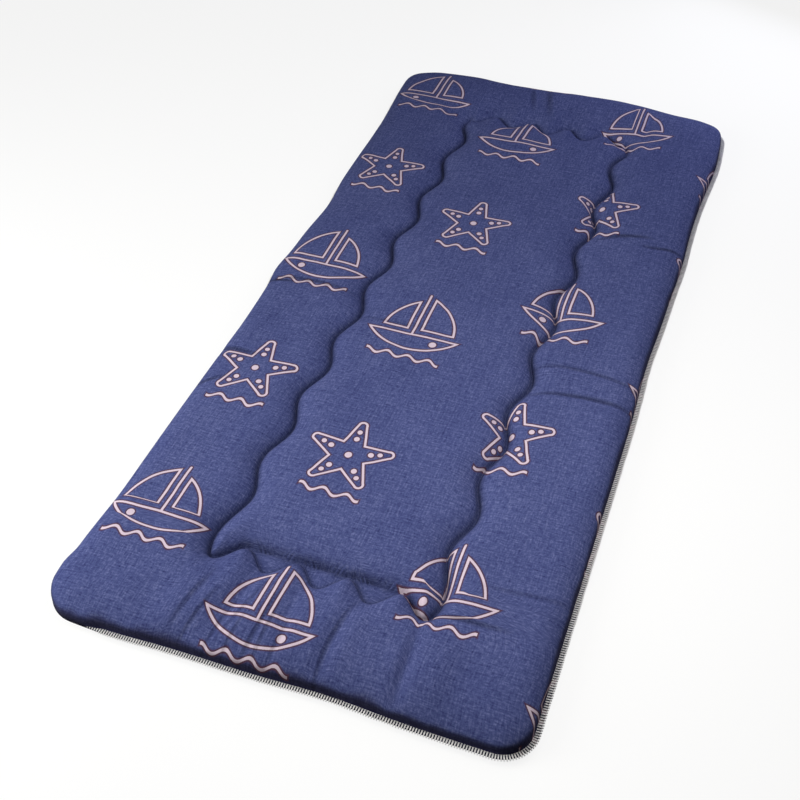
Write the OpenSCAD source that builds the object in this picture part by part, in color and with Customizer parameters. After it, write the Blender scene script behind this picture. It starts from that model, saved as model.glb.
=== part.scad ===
// Futon mattress: a quilted floor mattress in its flat, laid-out state.
//
// Two printed covers hold three batts. A closed frame of four wavy seams is stitched through everything,
// and the covers' seam allowances are overlocked together around the edge.
// +X runs across the width, +Y along the length towards the head end, and +Z up from the floor.
// The origin is in the middle of the underside.

/* [Mattress] */
// Width over the overlocked edge
mattress_w = 900; // [760:10:1400]
// Length over the overlocked edge
mattress_l = 2000; // [1700:10:2200]
// Radius of the four corners at the fabric's edge
corner_r = 80; // [60:5:140]

/* [Layers] */
// Thickness of the cover fabric
cover_t = 0.6; // [0.4:0.1:1.2]
// Thickness of the lower batt
base_batt_t = 12.4; // [11:0.2:16]
// Thickness of the firm batt in the middle
core_batt_t = 10; // [6:1:14]
// Thickness of the upper batt
top_batt_t = 31.4; // [22:0.2:40]
// What the stitching leaves of the thickness of the upper and of the lower batt
pinch_t = 1; // [0.6:0.1:2]

/* [Quilting] */
// Side edges to the middle of the long seams
side_inset = 239; // [190:1:260]
// Foot edge to the middle of the foot seam
foot_inset = 218; // [180:1:260]
// Head edge to the middle of the head seam
head_inset = 210; // [180:1:260]
// Length of one wave of the long seams
long_pitch = 187; // [140:1:240]
// Swing of the long seams to either side of their middle
long_swing = 12.5; // [0:0.5:18]
// First crest of the long seams, counted from the foot seam
first_crest = 38; // [0:1:120]
// Length of one wave of the foot and head seams
cross_pitch = 100; // [80:1:140]
// Swing of the foot and head seams to either side of their middle
cross_swing = 20; // [0:1:24]
// Width of the flat channel that the stitches lie in
channel_w = 6; // [4:1:8]
// Distance over which the top swells up again beside a seam
top_swell = 78; // [45:1:90]
// Distance over which the underside falls back to the floor beside a seam
base_swell = 42; // [30:1:50]
// Width of a quilting thread
quilting_thread_w = 1; // [0.6:0.1:1.6]
// Height that a quilting thread stands out of its channel
quilting_thread_h = 0.8; // [0.4:0.1:1.2]

/* [Edge] */
// Width of the two seam allowances, from the fabric's edge to the first filling
allowance_w = 8; // [7:0.5:11]
// Height of the face where the two covers meet
join_z = 12; // [8:0.5:12.5]
// Gap between the seam allowances and the batts
fill_gap = 6; // [4:0.5:10]
// Distance over which the top rises to its full height inside the allowances
top_roll = 55; // [35:1:65]
// Distance over which the underside falls to the floor inside the allowances
base_roll = 20; // [14:1:30]
// Thickness of an overlock thread
edge_thread_t = 0.5; // [0.3:0.1:0.8]
// How far the looper threads reach in from the fabric's edge
looper_w = 6.4; // [4:0.2:6.4]
// Width of the overlock needle thread beside them
edge_needle_w = 0.6; // [0.3:0.1:0.6]

/* [Hidden] */

// Half width and half length of the fabric, which the overlock threads wrap
half_w = mattress_w / 2 - edge_thread_t;
half_l = mattress_l / 2 - edge_thread_t;

// Heights of the layers
core_z = cover_t + base_batt_t;
top_batt_z = core_z + core_batt_t;
crown_z = top_batt_z + top_batt_t + cover_t;
top_channel_z = top_batt_z + pinch_t + cover_t;
base_channel_z = core_z - pinch_t - cover_t;

// The seam frame in the plain grid, before its waves are laid on
seam_x = mattress_w / 2 - side_inset;
foot_seam_y = foot_inset - mattress_l / 2;
head_seam_y = mattress_l / 2 - head_inset;
frame_mid_y = (foot_seam_y + head_seam_y) / 2;
frame_half_l = (head_seam_y - foot_seam_y) / 2;

// Distances of the grid lines from a seam, from the fabric's edge, and where a wave has died away
seam_steps = [channel_w / 2, channel_w / 2 + 0.36 * base_swell, channel_w / 2 + base_swell];
roll_end = allowance_w + base_roll;
edge_steps = [0, allowance_w, allowance_w + fill_gap, roll_end, (roll_end + corner_r) / 2, corner_r];
FILL_RING = 2;
wave_end = seam_steps[2] + 1.5 * base_swell;

// ---- Grid lines ---------------------------------------------------------------------------------------

// Lines on both sides of a seam at position s, in rising order
function around_seam(s) = concat([for (k = [2:-1:0]) s - seam_steps[k]], [for (d = seam_steps) s + d]);

// Quarter-wave lines between two limits, counted from a crest
function wave_lines(low, high, crest, pitch) =
    let (quarter = pitch / 4, first = ceil((low - crest) / quarter), last = floor((high - crest) / quarter))
    [for (k = [first:last]) crest + k * quarter];

u_inner = wave_lines(-seam_x + seam_steps[2] + 8, seam_x - seam_steps[2] - 8, 0, cross_pitch);
u_lines = concat(
    [for (d = edge_steps) d - half_w],
    around_seam(-seam_x),
    u_inner,
    around_seam(seam_x),
    [for (k = [len(edge_steps) - 1:-1:0]) half_w - edge_steps[k]]
);

v_inner = wave_lines(
    foot_seam_y + seam_steps[2] + 8, head_seam_y - seam_steps[2] - 8, foot_seam_y + first_crest, long_pitch
);
v_lines = concat(
    [for (d = edge_steps) d - half_l],
    around_seam(foot_seam_y),
    v_inner,
    around_seam(head_seam_y),
    [for (k = [len(edge_steps) - 1:-1:0]) half_l - edge_steps[k]]
);

// ---- Plan of the mattress -----------------------------------------------------------------------------

// 1 up to distance near, falling to 0 at distance far
function fade(d, near, far) = max(0, min(1, (far - d) / (far - near)));

// How strongly a wave carries the grid at distance d from its seam
function carry(d) = fade(abs(d), seam_steps[1], wave_end);

function long_wave(v) =
    long_swing * cos(360 * (v - foot_seam_y - first_crest) / long_pitch)
    * fade(abs(v - frame_mid_y) - frame_half_l, 0, seam_steps[2]);

function cross_wave(u) =
    cross_swing * cos(360 * (u / cross_pitch - 0.5)) * fade(abs(u) - seam_x, 0, seam_steps[2]);

// The grid point (u, v) with the seams' waves laid on
function waved(u, v) = [
    u + sign(u) * carry(abs(u) - seam_x) * long_wave(v),
    v + (carry(v - foot_seam_y) + carry(v - head_seam_y)) * cross_wave(u)
];

// The same point with the sheet's square corners drawn in to round ones, so that rings stay concentric
function rounded(p) =
    let (a = abs(p.x) - half_w + corner_r, b = abs(p.y) - half_l + corner_r)
    a <= 0 || b <= 0 ? p :
    let (k = max(a, b) / norm([a, b]))
    [sign(p.x) * (half_w - corner_r + a * k), sign(p.y) * (half_l - corner_r + b * k)];

function plan(u, v) = rounded(waved(u, v));

// Outline at distance d inside the fabric's edge, running anticlockwise
function outline(d) =
    let (
        w = half_w - d,
        l = half_l - d,
        us = [for (u = u_lines) if (abs(u) < w - 0.01) u],
        vs = [for (v = v_lines) if (abs(v) < l - 0.01) v]
    )
    [for (p = concat(
        [[-w, -l]], [for (u = us) [u, -l]],
        [[w, -l]], [for (v = vs) [w, v]],
        [[w, l]], [for (k = [len(us) - 1:-1:0]) [us[k], l]],
        [[-w, l]], [for (k = [len(vs) - 1:-1:0]) [-w, vs[k]]]
    )) rounded(p)];

// ---- Heights ------------------------------------------------------------------------------------------

function edge_distance(u, v) = min(half_w - abs(u), half_l - abs(v));
function seam_distance(u, v) = abs(max(abs(u) - seam_x, abs(v - frame_mid_y) - frame_half_l));

// Quarter of an ellipse that rises from 0 to 1 as d runs from 0 to reach
function swell(d, reach) = let (t = max(0, min(1, d / reach))) sqrt(1 - (1 - t) * (1 - t));

function top_z(u, v) =
    let (rim_z = join_z + cover_t)
    min(
        rim_z + (crown_z - rim_z) * swell(edge_distance(u, v) - allowance_w, top_roll),
        top_channel_z + (crown_z - top_channel_z) * swell(seam_distance(u, v) - channel_w / 2, top_swell)
    );

function base_z(u, v) = max(
    (join_z - cover_t) * (1 - swell(edge_distance(u, v) - allowance_w, base_roll)),
    base_channel_z * (1 - swell(seam_distance(u, v) - channel_w / 2, base_swell))
);

// ---- Surfaces as grids of points ----------------------------------------------------------------------

function unit(p) = p / norm(p);

top_outer = [for (v = v_lines) [for (u = u_lines) let (p = plan(u, v)) [p.x, p.y, top_z(u, v)]]];
base_outer = [for (v = v_lines) [for (u = u_lines) let (p = plan(u, v)) [p.x, p.y, base_z(u, v)]]];

// Upward normal of a grid of points, from its four neighbours
function grid_normal(grid, i, j) =
    unit(cross(grid[j][i + 1] - grid[j][i - 1], grid[j + 1][i] - grid[j - 1][i]));

// Allowances and stitch channels are flat, so their fabric is offset straight up or down
function lies_flat(i, j) =
    let (u = u_lines[i], v = v_lines[j])
    edge_distance(u, v) < allowance_w + 0.01 || seam_distance(u, v) < channel_w / 2 + 0.01;

// The face of a cover that lies on the filling: down is 1 for the top cover and -1 for the base cover
function inner_face(grid, down) = [
    for (j = [0:len(v_lines) - 1]) [
        for (i = [0:len(u_lines) - 1])
            grid[j][i] - down * cover_t * (lies_flat(i, j) ? [0, 0, 1] : grid_normal(grid, i, j))
    ]
];

top_inner = inner_face(top_outer, 1);
base_inner = inner_face(base_outer, -1);

// The part of a grid that covers the batts
function filled_part(grid) = [
    for (j = [FILL_RING:len(grid) - 1 - FILL_RING]) [
        for (i = [FILL_RING:len(grid[0]) - 1 - FILL_RING]) grid[j][i]
    ]
];

function flattened(points) = [for (row = points) for (p = row) p];

// Triangles of a grid whose first point is number first. Each quarter's diagonals point at its corner.
function grid_faces(rows, cols, first, facing_up) = [
    for (j = [0:rows - 2]) for (i = [0:cols - 2])
        let (
            a = first + j * cols + i,
            b = a + 1,
            c = b + cols,
            d = a + cols,
            outward = (2 * i < cols - 1) == (2 * j < rows - 1),
            pair = outward ? [[a, d, c], [a, c, b]] : [[a, d, b], [d, c, b]]
        )
        for (t = pair) facing_up ? t : [t[2], t[1], t[0]]
];

// Numbers of the points around a grid, anticlockwise from above
function grid_rim(rows, cols, first) = concat(
    [for (i = [0:cols - 2]) first + i],
    [for (j = [0:rows - 2]) first + j * cols + cols - 1],
    [for (i = [cols - 1:-1:1]) first + (rows - 1) * cols + i],
    [for (j = [rows - 1:-1:1]) first + j * cols]
);

// Wall between an upper and a lower loop of point numbers
function wall_faces(upper, lower) = [
    for (k = [0:len(upper) - 1])
        let (next = (k + 1) % len(upper)) [upper[k], upper[next], lower[next], lower[k]]
];

// A sheet between two grids of the same size
module sheet(upper, lower) {
    rows = len(upper);
    cols = len(upper[0]);
    count = rows * cols;
    polyhedron(
        points = concat(flattened(upper), flattened(lower)),
        faces = concat(
            grid_faces(rows, cols, 0, true),
            grid_faces(rows, cols, count, false),
            wall_faces(grid_rim(rows, cols, 0), grid_rim(rows, cols, count))
        ),
        convexity = 6
    );
}

// A batt between a shaped grid and a flat face at height flat_z
module batt(shaped, flat_z, shaped_side_up) {
    rows = len(shaped);
    cols = len(shaped[0]);
    count = rows * cols;
    rim = grid_rim(rows, cols, 0);
    points = flattened(shaped);
    flat_rim = [for (k = [0:len(rim) - 1]) count + k];
    cap = [for (k = [0:len(rim) - 1]) count + (shaped_side_up ? k : len(rim) - 1 - k)];
    polyhedron(
        points = concat(points, [for (k = rim) [points[k].x, points[k].y, flat_z]]),
        faces = concat(
            grid_faces(rows, cols, 0, shaped_side_up),
            shaped_side_up ? wall_faces(rim, flat_rim) : wall_faces(flat_rim, rim),
            [cap]
        ),
        convexity = 6
    );
}

// ---- Threads ------------------------------------------------------------------------------------------

// Middle lines of the quilting seams. The cross seams end at the side of the long seams' thread.
function long_seam(side) = [
    for (v = concat([foot_seam_y], [for (v = v_lines) if (v > foot_seam_y && v < head_seam_y) v], [head_seam_y]))
        waved(side * seam_x, v)
];

function cross_seam(seam_y) =
    let (end = seam_x - quilting_thread_w / 2)
    [for (u = concat([-end], [for (u = u_lines) if (abs(u) < end) u], [end])) waved(u, seam_y)];

// Direction square to a line at its point k
function line_normal(line, k) =
    let (
        behind = line[max(0, k - 1)],
        ahead = line[min(len(line) - 1, k + 1)],
        along = unit(ahead - behind)
    )
    [-along.y, along.x];

// A thread of the given width along a line of points, lying on height z
module thread_along(line, width, height, z) {
    last = len(line) - 1;
    left = [for (k = [0:last]) line[k] + line_normal(line, k) * width / 2];
    right = [for (k = [last:-1:0]) line[k] - line_normal(line, k) * width / 2];
    translate([0, 0, z]) linear_extrude(height) polygon(concat(right, left));
}

module quilting_needle_thread(line) {
    color("midnightblue") thread_along(line, quilting_thread_w, quilting_thread_h, top_channel_z);
}

module quilting_bobbin_thread(line) {
    color("midnightblue")
        thread_along(line, quilting_thread_w, quilting_thread_h, base_channel_z - quilting_thread_h);
}

// A flat ring around the mattress between two distances from the fabric's edge
module edge_ring(outer, inner, z, height) {
    translate([0, 0, z]) linear_extrude(height) difference() {
        polygon(outline(outer));
        polygon(outline(inner));
    }
}

// ---- Sub-parts ----------------------------------------------------------------------------------------

module top_cover() {
    color([0.28, 0.31, 0.53]) sheet(top_outer, top_inner);
}

module base_cover() {
    color([0.25, 0.28, 0.49]) sheet(base_inner, base_outer);
}

module top_batt() {
    color("white") batt(filled_part(top_inner), top_batt_z, true);
}

module core_batt() {
    color("whitesmoke")
        translate([0, 0, core_z])
        linear_extrude(core_batt_t)
        polygon(outline(allowance_w + fill_gap + cover_t));
}

module base_batt() {
    color("white") batt(filled_part(base_inner), core_z, false);
}

module left_quilting_needle_thread() {
    quilting_needle_thread(long_seam(-1));
}

module right_quilting_needle_thread() {
    quilting_needle_thread(long_seam(1));
}

module head_quilting_needle_thread() {
    quilting_needle_thread(cross_seam(head_seam_y));
}

module foot_quilting_needle_thread() {
    quilting_needle_thread(cross_seam(foot_seam_y));
}

module left_quilting_bobbin_thread() {
    quilting_bobbin_thread(long_seam(-1));
}

module right_quilting_bobbin_thread() {
    quilting_bobbin_thread(long_seam(1));
}

module head_quilting_bobbin_thread() {
    quilting_bobbin_thread(cross_seam(head_seam_y));
}

module foot_quilting_bobbin_thread() {
    quilting_bobbin_thread(cross_seam(foot_seam_y));
}

module overlock_needle_thread() {
    color("ivory") edge_ring(looper_w, looper_w + edge_needle_w, join_z + cover_t, edge_thread_t);
}

module overlock_upper_looper_thread() {
    color("white") {
        edge_ring(0, looper_w, join_z + cover_t, edge_thread_t);
        edge_ring(-edge_thread_t, 0, join_z, cover_t + edge_thread_t);
    }
}

module overlock_lower_looper_thread() {
    color("white") {
        edge_ring(0, looper_w, join_z - cover_t - edge_thread_t, edge_thread_t);
        edge_ring(-edge_thread_t, 0, join_z - cover_t - edge_thread_t, cover_t + edge_thread_t);
    }
}

top_cover();
base_cover();
top_batt();
core_batt();
base_batt();
left_quilting_needle_thread();
right_quilting_needle_thread();
head_quilting_needle_thread();
foot_quilting_needle_thread();
left_quilting_bobbin_thread();
right_quilting_bobbin_thread();
head_quilting_bobbin_thread();
foot_quilting_bobbin_thread();
overlock_needle_thread();
overlock_upper_looper_thread();
overlock_lower_looper_thread();
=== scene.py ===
"""Dresses a futon mattress: two covers over three batts, quilted in a wavy frame and overlocked all round."""

from __future__ import annotations

import logging
import math
from collections.abc import Sequence
from dataclasses import dataclass, field
from enum import Enum

import bmesh
import bpy
import numpy as np
from mathutils import Matrix, Vector
from mathutils.kdtree import KDTree


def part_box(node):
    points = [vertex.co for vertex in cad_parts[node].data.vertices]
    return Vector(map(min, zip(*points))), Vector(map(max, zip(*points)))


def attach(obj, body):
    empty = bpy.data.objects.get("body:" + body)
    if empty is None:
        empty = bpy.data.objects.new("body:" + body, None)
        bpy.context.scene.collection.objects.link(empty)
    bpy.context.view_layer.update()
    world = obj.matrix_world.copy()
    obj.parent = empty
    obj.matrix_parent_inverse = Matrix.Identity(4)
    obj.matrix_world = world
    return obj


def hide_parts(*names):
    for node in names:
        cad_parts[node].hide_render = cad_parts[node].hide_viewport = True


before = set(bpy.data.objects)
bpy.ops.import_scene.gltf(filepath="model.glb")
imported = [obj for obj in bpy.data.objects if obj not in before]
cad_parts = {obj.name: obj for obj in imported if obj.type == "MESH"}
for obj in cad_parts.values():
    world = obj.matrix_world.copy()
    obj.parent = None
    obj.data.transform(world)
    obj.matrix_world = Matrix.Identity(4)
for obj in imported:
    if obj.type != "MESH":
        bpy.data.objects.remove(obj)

log = logging.getLogger("futon")

Array = np.ndarray
Line = tuple[Array, Array]
Point = tuple[float, float]
Triple = tuple[float, float, float]
Link = bpy.types.NodeSocket
Colour = Link | Triple
Sockets = dict[int | str, object]


# ---- Small helpers -----------------------------------------------------------------------------------------


def tint(*seen: int) -> Triple:
    """Turns a colour as it is seen into the linear values that a shader takes.

    Args:
        seen: Red, green and blue, 0 to 255.

    Returns:
        The linear colour, 0 to 1.
    """
    parts = [level / 255 for level in seen]
    return tuple(part / 12.92 if part <= 0.04045 else ((part + 0.055) / 1.055) ** 2.4 for part in parts)


def ease(value: Array) -> Array:
    """Returns a smooth step of values from 0 to 1, level at both ends."""
    t = np.clip(value, 0.0, 1.0)
    return t * t * (3 - 2 * t)


def bulge(distance: Array, reach: float, softness: float = 0.5) -> Array:
    """Returns how far padding has swollen up beside a line that holds it down.

    Args:
        distance: Distance from the line, in metres.
        reach: Distance at which the padding has its full height.
        softness: 0.5 for a quarter of an ellipse, 1 for a gentle parabola.

    Returns:
        0 at the line and 1 from reach on.
    """
    t = np.clip(distance / reach, 0.0, 1.0)
    return (1 - (1 - t) ** 2) ** softness


@dataclass(frozen=True)
class Rise:
    """How padding rises beside a line that holds it down: steeply near it, then in a longer slope.

    steep is the first part's share of the height. Each part has where it starts, its reach and its softness.
    """

    steep: float
    start: float
    reach: float
    softness: float
    slope_start: float
    slope_reach: float
    slope_softness: float = 1.0

    def at(self, distance: Array) -> Array:
        """Measures how far the padding has risen.

        Args:
            distance: Distance from the line, in metres.

        Returns:
            0 at the line and 1 in the open.
        """
        near = bulge(distance - self.start, self.reach, self.softness)
        slope = bulge(distance - self.slope_start, self.slope_reach, self.slope_softness)
        return self.steep * near + (1 - self.steep) * slope


def falling(distance: Array, width: float | Array) -> Array:
    """Returns a soft peak: 1 at no distance, and almost nothing past two widths."""
    return np.exp(-((distance / width) ** 2))


class Drift:
    """Smooth unevenness over a plan, the same in each run."""

    def __init__(self, seed: int, cell: float) -> None:
        """Picks a pattern by its seed, and the size of its swells in metres."""
        self.cell = cell
        self.knots = np.random.default_rng(seed).uniform(-1, 1, (64, 64))

    def at(self, x: Array, y: Array, octaves: int = 2) -> Array:
        """Measures the unevenness.

        Args:
            x: The points' x in the plan.
            y: Their y.
            octaves: How many layers of swells it has, each half the size of the one before.

        Returns:
            The unevenness at each point, about -1 to 1.
        """
        total, scale, knots = np.zeros(np.broadcast(x, y).shape), 1.0, self.knots
        for octave in range(octaves):
            gx = x / self.cell * 2**octave + 31.3 + 7.7 * octave
            gy = y / self.cell * 2**octave + 17.9 + 5.1 * octave
            i, j = np.floor(gx).astype(int), np.floor(gy).astype(int)
            fx, fy = ease(gx - i), ease(gy - j)
            i, j, right, up = i % 64, j % 64, (i + 1) % 64, (j + 1) % 64
            low = knots[i, j] * (1 - fx) + knots[right, j] * fx
            high = knots[i, up] * (1 - fx) + knots[right, up] * fx
            total += scale * (low * (1 - fy) + high * fy)
            scale *= 0.5
        return total


# ---- Plan and heights of the mattress ----------------------------------------------------------------------


class Edge(Enum):
    """The four edges, as the axis that they face along and its sign."""

    LEFT = (0, -1)
    RIGHT = (0, 1)
    FOOT = (1, -1)
    HEAD = (1, 1)


@dataclass(frozen=True)
class Sway:
    """A stretch where an edge stands out of its straight line, or lies back behind it."""

    edge: Edge
    at: float
    reach: float
    out: float


@dataclass(frozen=True)
class Crease:
    """A soft fold pressed into the upper cover: its middle, length, direction, depth, width and bow."""

    x: float
    y: float
    length: float
    turn: float
    depth: float
    width: float
    bow: float = 0.0

    def dent(self, x: Array, y: Array) -> Array:
        """Presses the crease into the cloth.

        Args:
            x: The points' x in the plan.
            y: Their y.

        Returns:
            How much lower the cloth lies at each point.
        """
        c, s = math.cos(math.radians(self.turn)), math.sin(math.radians(self.turn))
        along = ((x - self.x) * c + (y - self.y) * s) / (self.length / 2)
        across = (y - self.y) * c - (x - self.x) * s - self.bow * (1 - along**2)
        fall = np.clip(1 - along**2, 0, 1) ** 1.5
        banks = falling(np.abs(across) - 2.1 * self.width, 1.3 * self.width)
        return self.depth * fall * (falling(across, self.width) - 0.4 * banks)

    def groove(self, bench: Bench, place: Link) -> Wire:
        """Draws the crease in a material, where it is too fine for the mesh.

        Args:
            bench: The material under work.
            place: The piece's Object coordinate.

        Returns:
            How deep the cloth lies in the crease.
        """
        half = 1.7 * self.width
        laid = bench.placed(place, (self.x, self.y), self.turn, (self.length / 2, half))
        along, across, _ = bench.parts(laid)
        arch = (1 - along * along).clamped()
        off = across - arch * (self.bow / half)
        valley = (1 - off * off).clamped()
        return valley * valley * arch * self.depth


SWAYS = (
    Sway(Edge.LEFT, -0.88, 0.10, 0.006),
    Sway(Edge.LEFT, -0.20, 0.13, -0.005),
    Sway(Edge.LEFT, 0.00, 0.05, 0.008),
    Sway(Edge.LEFT, 0.26, 0.09, -0.010),
    Sway(Edge.LEFT, 0.92, 0.17, 0.017),
    Sway(Edge.RIGHT, -0.03, 0.11, -0.005),
    Sway(Edge.RIGHT, 0.33, 0.10, 0.004),
    Sway(Edge.RIGHT, 0.78, 0.15, 0.012),
    Sway(Edge.FOOT, -0.32, 0.10, 0.006),
    Sway(Edge.FOOT, 0.10, 0.10, -0.006),
    Sway(Edge.HEAD, -0.29, 0.08, 0.012),
    Sway(Edge.HEAD, 0.09, 0.12, 0.010),
    Sway(Edge.HEAD, 0.37, 0.12, -0.026),
)

CREASES = (
    # Broad folds between the foot seam and the foot edge
    Crease(-0.113, -0.890, 0.210, 80, 0.0062, 0.016),
    Crease(-0.158, -0.885, 0.200, 73, -0.0040, 0.016),
    Crease(-0.205, -0.925, 0.180, 76, -0.0050, 0.026),
    Crease(-0.014, -0.890, 0.190, 94, 0.0042, 0.012),
    Crease(0.088, -0.900, 0.220, 87, 0.0054, 0.013, 0.012),
    Crease(0.212, -0.905, 0.200, 92, 0.0048, 0.011),
    Crease(0.262, -0.905, 0.200, 90, -0.0042, 0.026),
    # Broad folds between the head seam and the head edge
    Crease(-0.290, 0.800, 0.250, 133, 0.0040, 0.026),
    Crease(-0.052, 0.905, 0.150, 105, 0.0030, 0.016),
    Crease(0.256, 0.860, 0.170, 85, 0.0060, 0.012),
    Crease(0.335, 0.870, 0.200, 80, -0.0045, 0.032),
    # Across the side borders
    Crease(0.330, 0.340, 0.220, 178, 0.0024, 0.014, 0.010),
    Crease(0.335, -0.222, 0.240, 178, 0.0026, 0.014, -0.018),
    Crease(-0.340, -0.060, 0.220, 2, 0.0026, 0.015, 0.020),
    Crease(-0.400, -0.306, 0.120, 0, 0.0030, 0.013),
    # Across the inner panel
    Crease(-0.110, -0.112, 0.200, 3, 0.0016, 0.014),
    Crease(-0.060, -0.560, 0.240, 2, 0.0008, 0.014),
    Crease(0.060, 0.330, 0.220, 178, 0.0009, 0.014),
)

FINE_CREASES = (
    # Pulled from the foot seam to the foot edge
    Crease(-0.093, -0.890, 0.190, 76, 0.0018, 0.0042),
    Crease(-0.052, -0.915, 0.170, 86, 0.0024, 0.0045),
    Crease(-0.037, -0.920, 0.140, 89, 0.0018, 0.0042),
    Crease(-0.088, -0.948, 0.110, 84, 0.0016, 0.0038),
    Crease(-0.121, -0.940, 0.130, 82, 0.0018, 0.0042),
    Crease(-0.163, -0.932, 0.140, 78, 0.0018, 0.0042),
    Crease(-0.188, -0.905, 0.150, 80, 0.0020, 0.0052),
    Crease(-0.010, -0.940, 0.110, 88, 0.0016, 0.0042),
    Crease(0.086, -0.905, 0.200, 87, 0.0024, 0.0045, 0.012),
    # Pulled from the head seam to the head edge
    Crease(-0.076, 0.902, 0.130, 105, 0.0022, 0.0070),
    Crease(-0.030, 0.905, 0.160, 105, 0.0024, 0.0075),
    # Across the right border
    Crease(0.305, 0.344, 0.150, 17, 0.0036, 0.0050, 0.013),
    Crease(0.400, 0.335, 0.120, 1, 0.0034, 0.0048),
    Crease(0.330, -0.150, 0.280, 177, 0.0025, 0.0048, -0.020),
    Crease(0.344, -0.224, 0.270, 2, 0.0034, 0.0050, 0.020),
    Crease(0.365, -0.710, 0.200, 4, 0.0016, 0.0048),
    Crease(0.285, -0.794, 0.160, 0, 0.0032, 0.0050),
    # Across the left border
    Crease(-0.338, -0.053, 0.240, 3, 0.0028, 0.0050, 0.021),
    Crease(-0.410, -0.054, 0.080, 8, 0.0034, 0.0045),
    Crease(-0.400, -0.299, 0.120, 179, 0.0032, 0.0048),
    Crease(-0.415, -0.404, 0.100, 34, 0.0028, 0.0050),
    # Across the inner panel
    Crease(-0.110, -0.107, 0.200, 3, 0.0014, 0.0048),
)




@dataclass(frozen=True)
class Quilt:
    """The plan and the heights of the mattress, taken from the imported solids. All lengths are in metres."""

    half_w: float
    half_l: float
    crown: float
    join: float
    cloth: float
    top_channel: float
    base_channel: float
    seam_x: float
    long_swing: float
    foot_y: float
    foot_swing: float
    head_y: float
    head_swing: float
    core_low: float
    core_high: float
    foot_corner: float = 0.064
    head_corner: float = 0.094
    long_pitch: float = 0.187
    first_crest: float = 0.038
    cross_pitch: float = 0.100
    carry_full: float = 0.018
    carry_end: float = 0.108
    frame_fade: float = 0.045
    sway_depth: float = 0.24
    allowance: float = 0.008
    channel: float = 0.006
    base_swell: float = 0.042
    base_roll: float = 0.020
    tuck_reach: float = 0.135
    tuck_fade: float = 0.05

    @classmethod
    def from_frame(cls) -> Quilt:
        """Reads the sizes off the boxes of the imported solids.

        Returns:
            The plan that all pieces share.
        """
        cover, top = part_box("top_cover")
        left, foot, head = (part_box(f"{seam}_quilting_needle_thread") for seam in ("left", "foot", "head"))
        bobbin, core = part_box("left_quilting_bobbin_thread"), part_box("core_batt")
        thread = left[1].z - left[0].z + 0.0002
        return cls(
            half_w=top.x,
            half_l=top.y,
            crown=top.z,
            join=cover.z,
            cloth=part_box("overlock_needle_thread")[0].z - cover.z,
            top_channel=left[0].z,
            base_channel=bobbin[1].z,
            seam_x=-(left[0].x + left[1].x) / 2,
            long_swing=(left[1].x - left[0].x - thread) / 2,
            foot_y=(foot[0].y + foot[1].y) / 2,
            foot_swing=(foot[1].y - foot[0].y - thread) / 2,
            head_y=(head[0].y + head[1].y) / 2,
            head_swing=(head[1].y - head[0].y - thread) / 2,
            core_low=core[0].z,
            core_high=core[1].z,
        )

    def carry(self, distance: Array) -> Array:
        """Returns how strongly a seam's waves carry the cloth with them at a distance from the seam."""
        return ease((self.carry_end - np.abs(distance)) / (self.carry_end - self.carry_full))

    def long_wave(self, v: Array) -> Array:
        """Waves the long seams.

        Args:
            v: Places along the length.

        Returns:
            How far the seams stand outwards there.
        """
        middle, half = (self.foot_y + self.head_y) / 2, (self.head_y - self.foot_y) / 2
        fade = np.clip(1 - (np.abs(v - middle) - half) / self.frame_fade, 0, 1)
        phase = 2 * np.pi * (v - self.foot_y - self.first_crest) / self.long_pitch
        return self.long_swing * fade * np.cos(phase)

    def cross_wave(self, u: Array) -> Array:
        """Returns the waves of the foot and head seams at u, from -1 to 1."""
        fade = np.clip(1 - (np.abs(u) - self.seam_x) / self.frame_fade, 0, 1)
        return fade * np.cos(2 * np.pi * (u / self.cross_pitch - 0.5))

    def waved(self, u: Array, v: Array) -> Line:
        """Lays the seams' waves on the straight grid.

        Args:
            u: Place across the width in the straight grid.
            v: Place along the length.

        Returns:
            The place in the plan.
        """
        x = u + np.sign(u) * self.carry(np.abs(u) - self.seam_x) * self.long_wave(v)
        foot = self.foot_swing * self.carry(v - self.foot_y)
        head = self.head_swing * self.carry(v - self.head_y)
        return x, v + (foot + head) * self.cross_wave(u)

    def rounded(self, x: Array, y: Array) -> Line:
        """Draws the four square corners of a plan in to round ones, so that rings stay concentric.

        Args:
            x: The points' x in the plan.
            y: Their y.

        Returns:
            Their new x and y.
        """
        corner = np.where(y < 0, self.foot_corner, self.head_corner)
        a, b = np.abs(x) - self.half_w + corner, np.abs(y) - self.half_l + corner
        inside = (a <= 0) | (b <= 0)
        k = np.where(inside, 1.0, np.maximum(a, b) / np.maximum(np.hypot(a, b), 1e-9))
        return (
            np.where(inside, x, np.sign(x) * (self.half_w - corner + a * k)),
            np.where(inside, y, np.sign(y) * (self.half_l - corner + b * k)),
        )

    def swayed(self, x: Array, y: Array) -> Line:
        """Moves the outer part of the plan in and out, so that no edge runs dead straight.

        Args:
            x: The points' x in the plan.
            y: Their y.

        Returns:
            Their new x and y.
        """
        place, half, moved = (x, y), (self.half_w, self.half_l), [x.copy(), y.copy()]
        for sway in SWAYS:
            axis, sign = sway.edge.value
            near = ease((place[axis] * sign - half[axis] + self.sway_depth) / self.sway_depth)
            moved[axis] += sign * sway.out * near * falling(place[1 - axis] - sway.at, sway.reach)
        return moved[0], moved[1]

    def plan(self, u: Array, v: Array) -> Line:
        """Returns the finished place of grid points: waved, with round corners and living edges."""
        return self.swayed(*self.rounded(*self.waved(u, v)))

    def tuck(self, u: Array, v: Array) -> Array:
        """Returns how far the edge is rolled under, which it is at the left corner of the foot only."""
        return ease((self.tuck_reach - np.hypot(u + self.half_w, v + self.half_l)) / self.tuck_fade)

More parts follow.
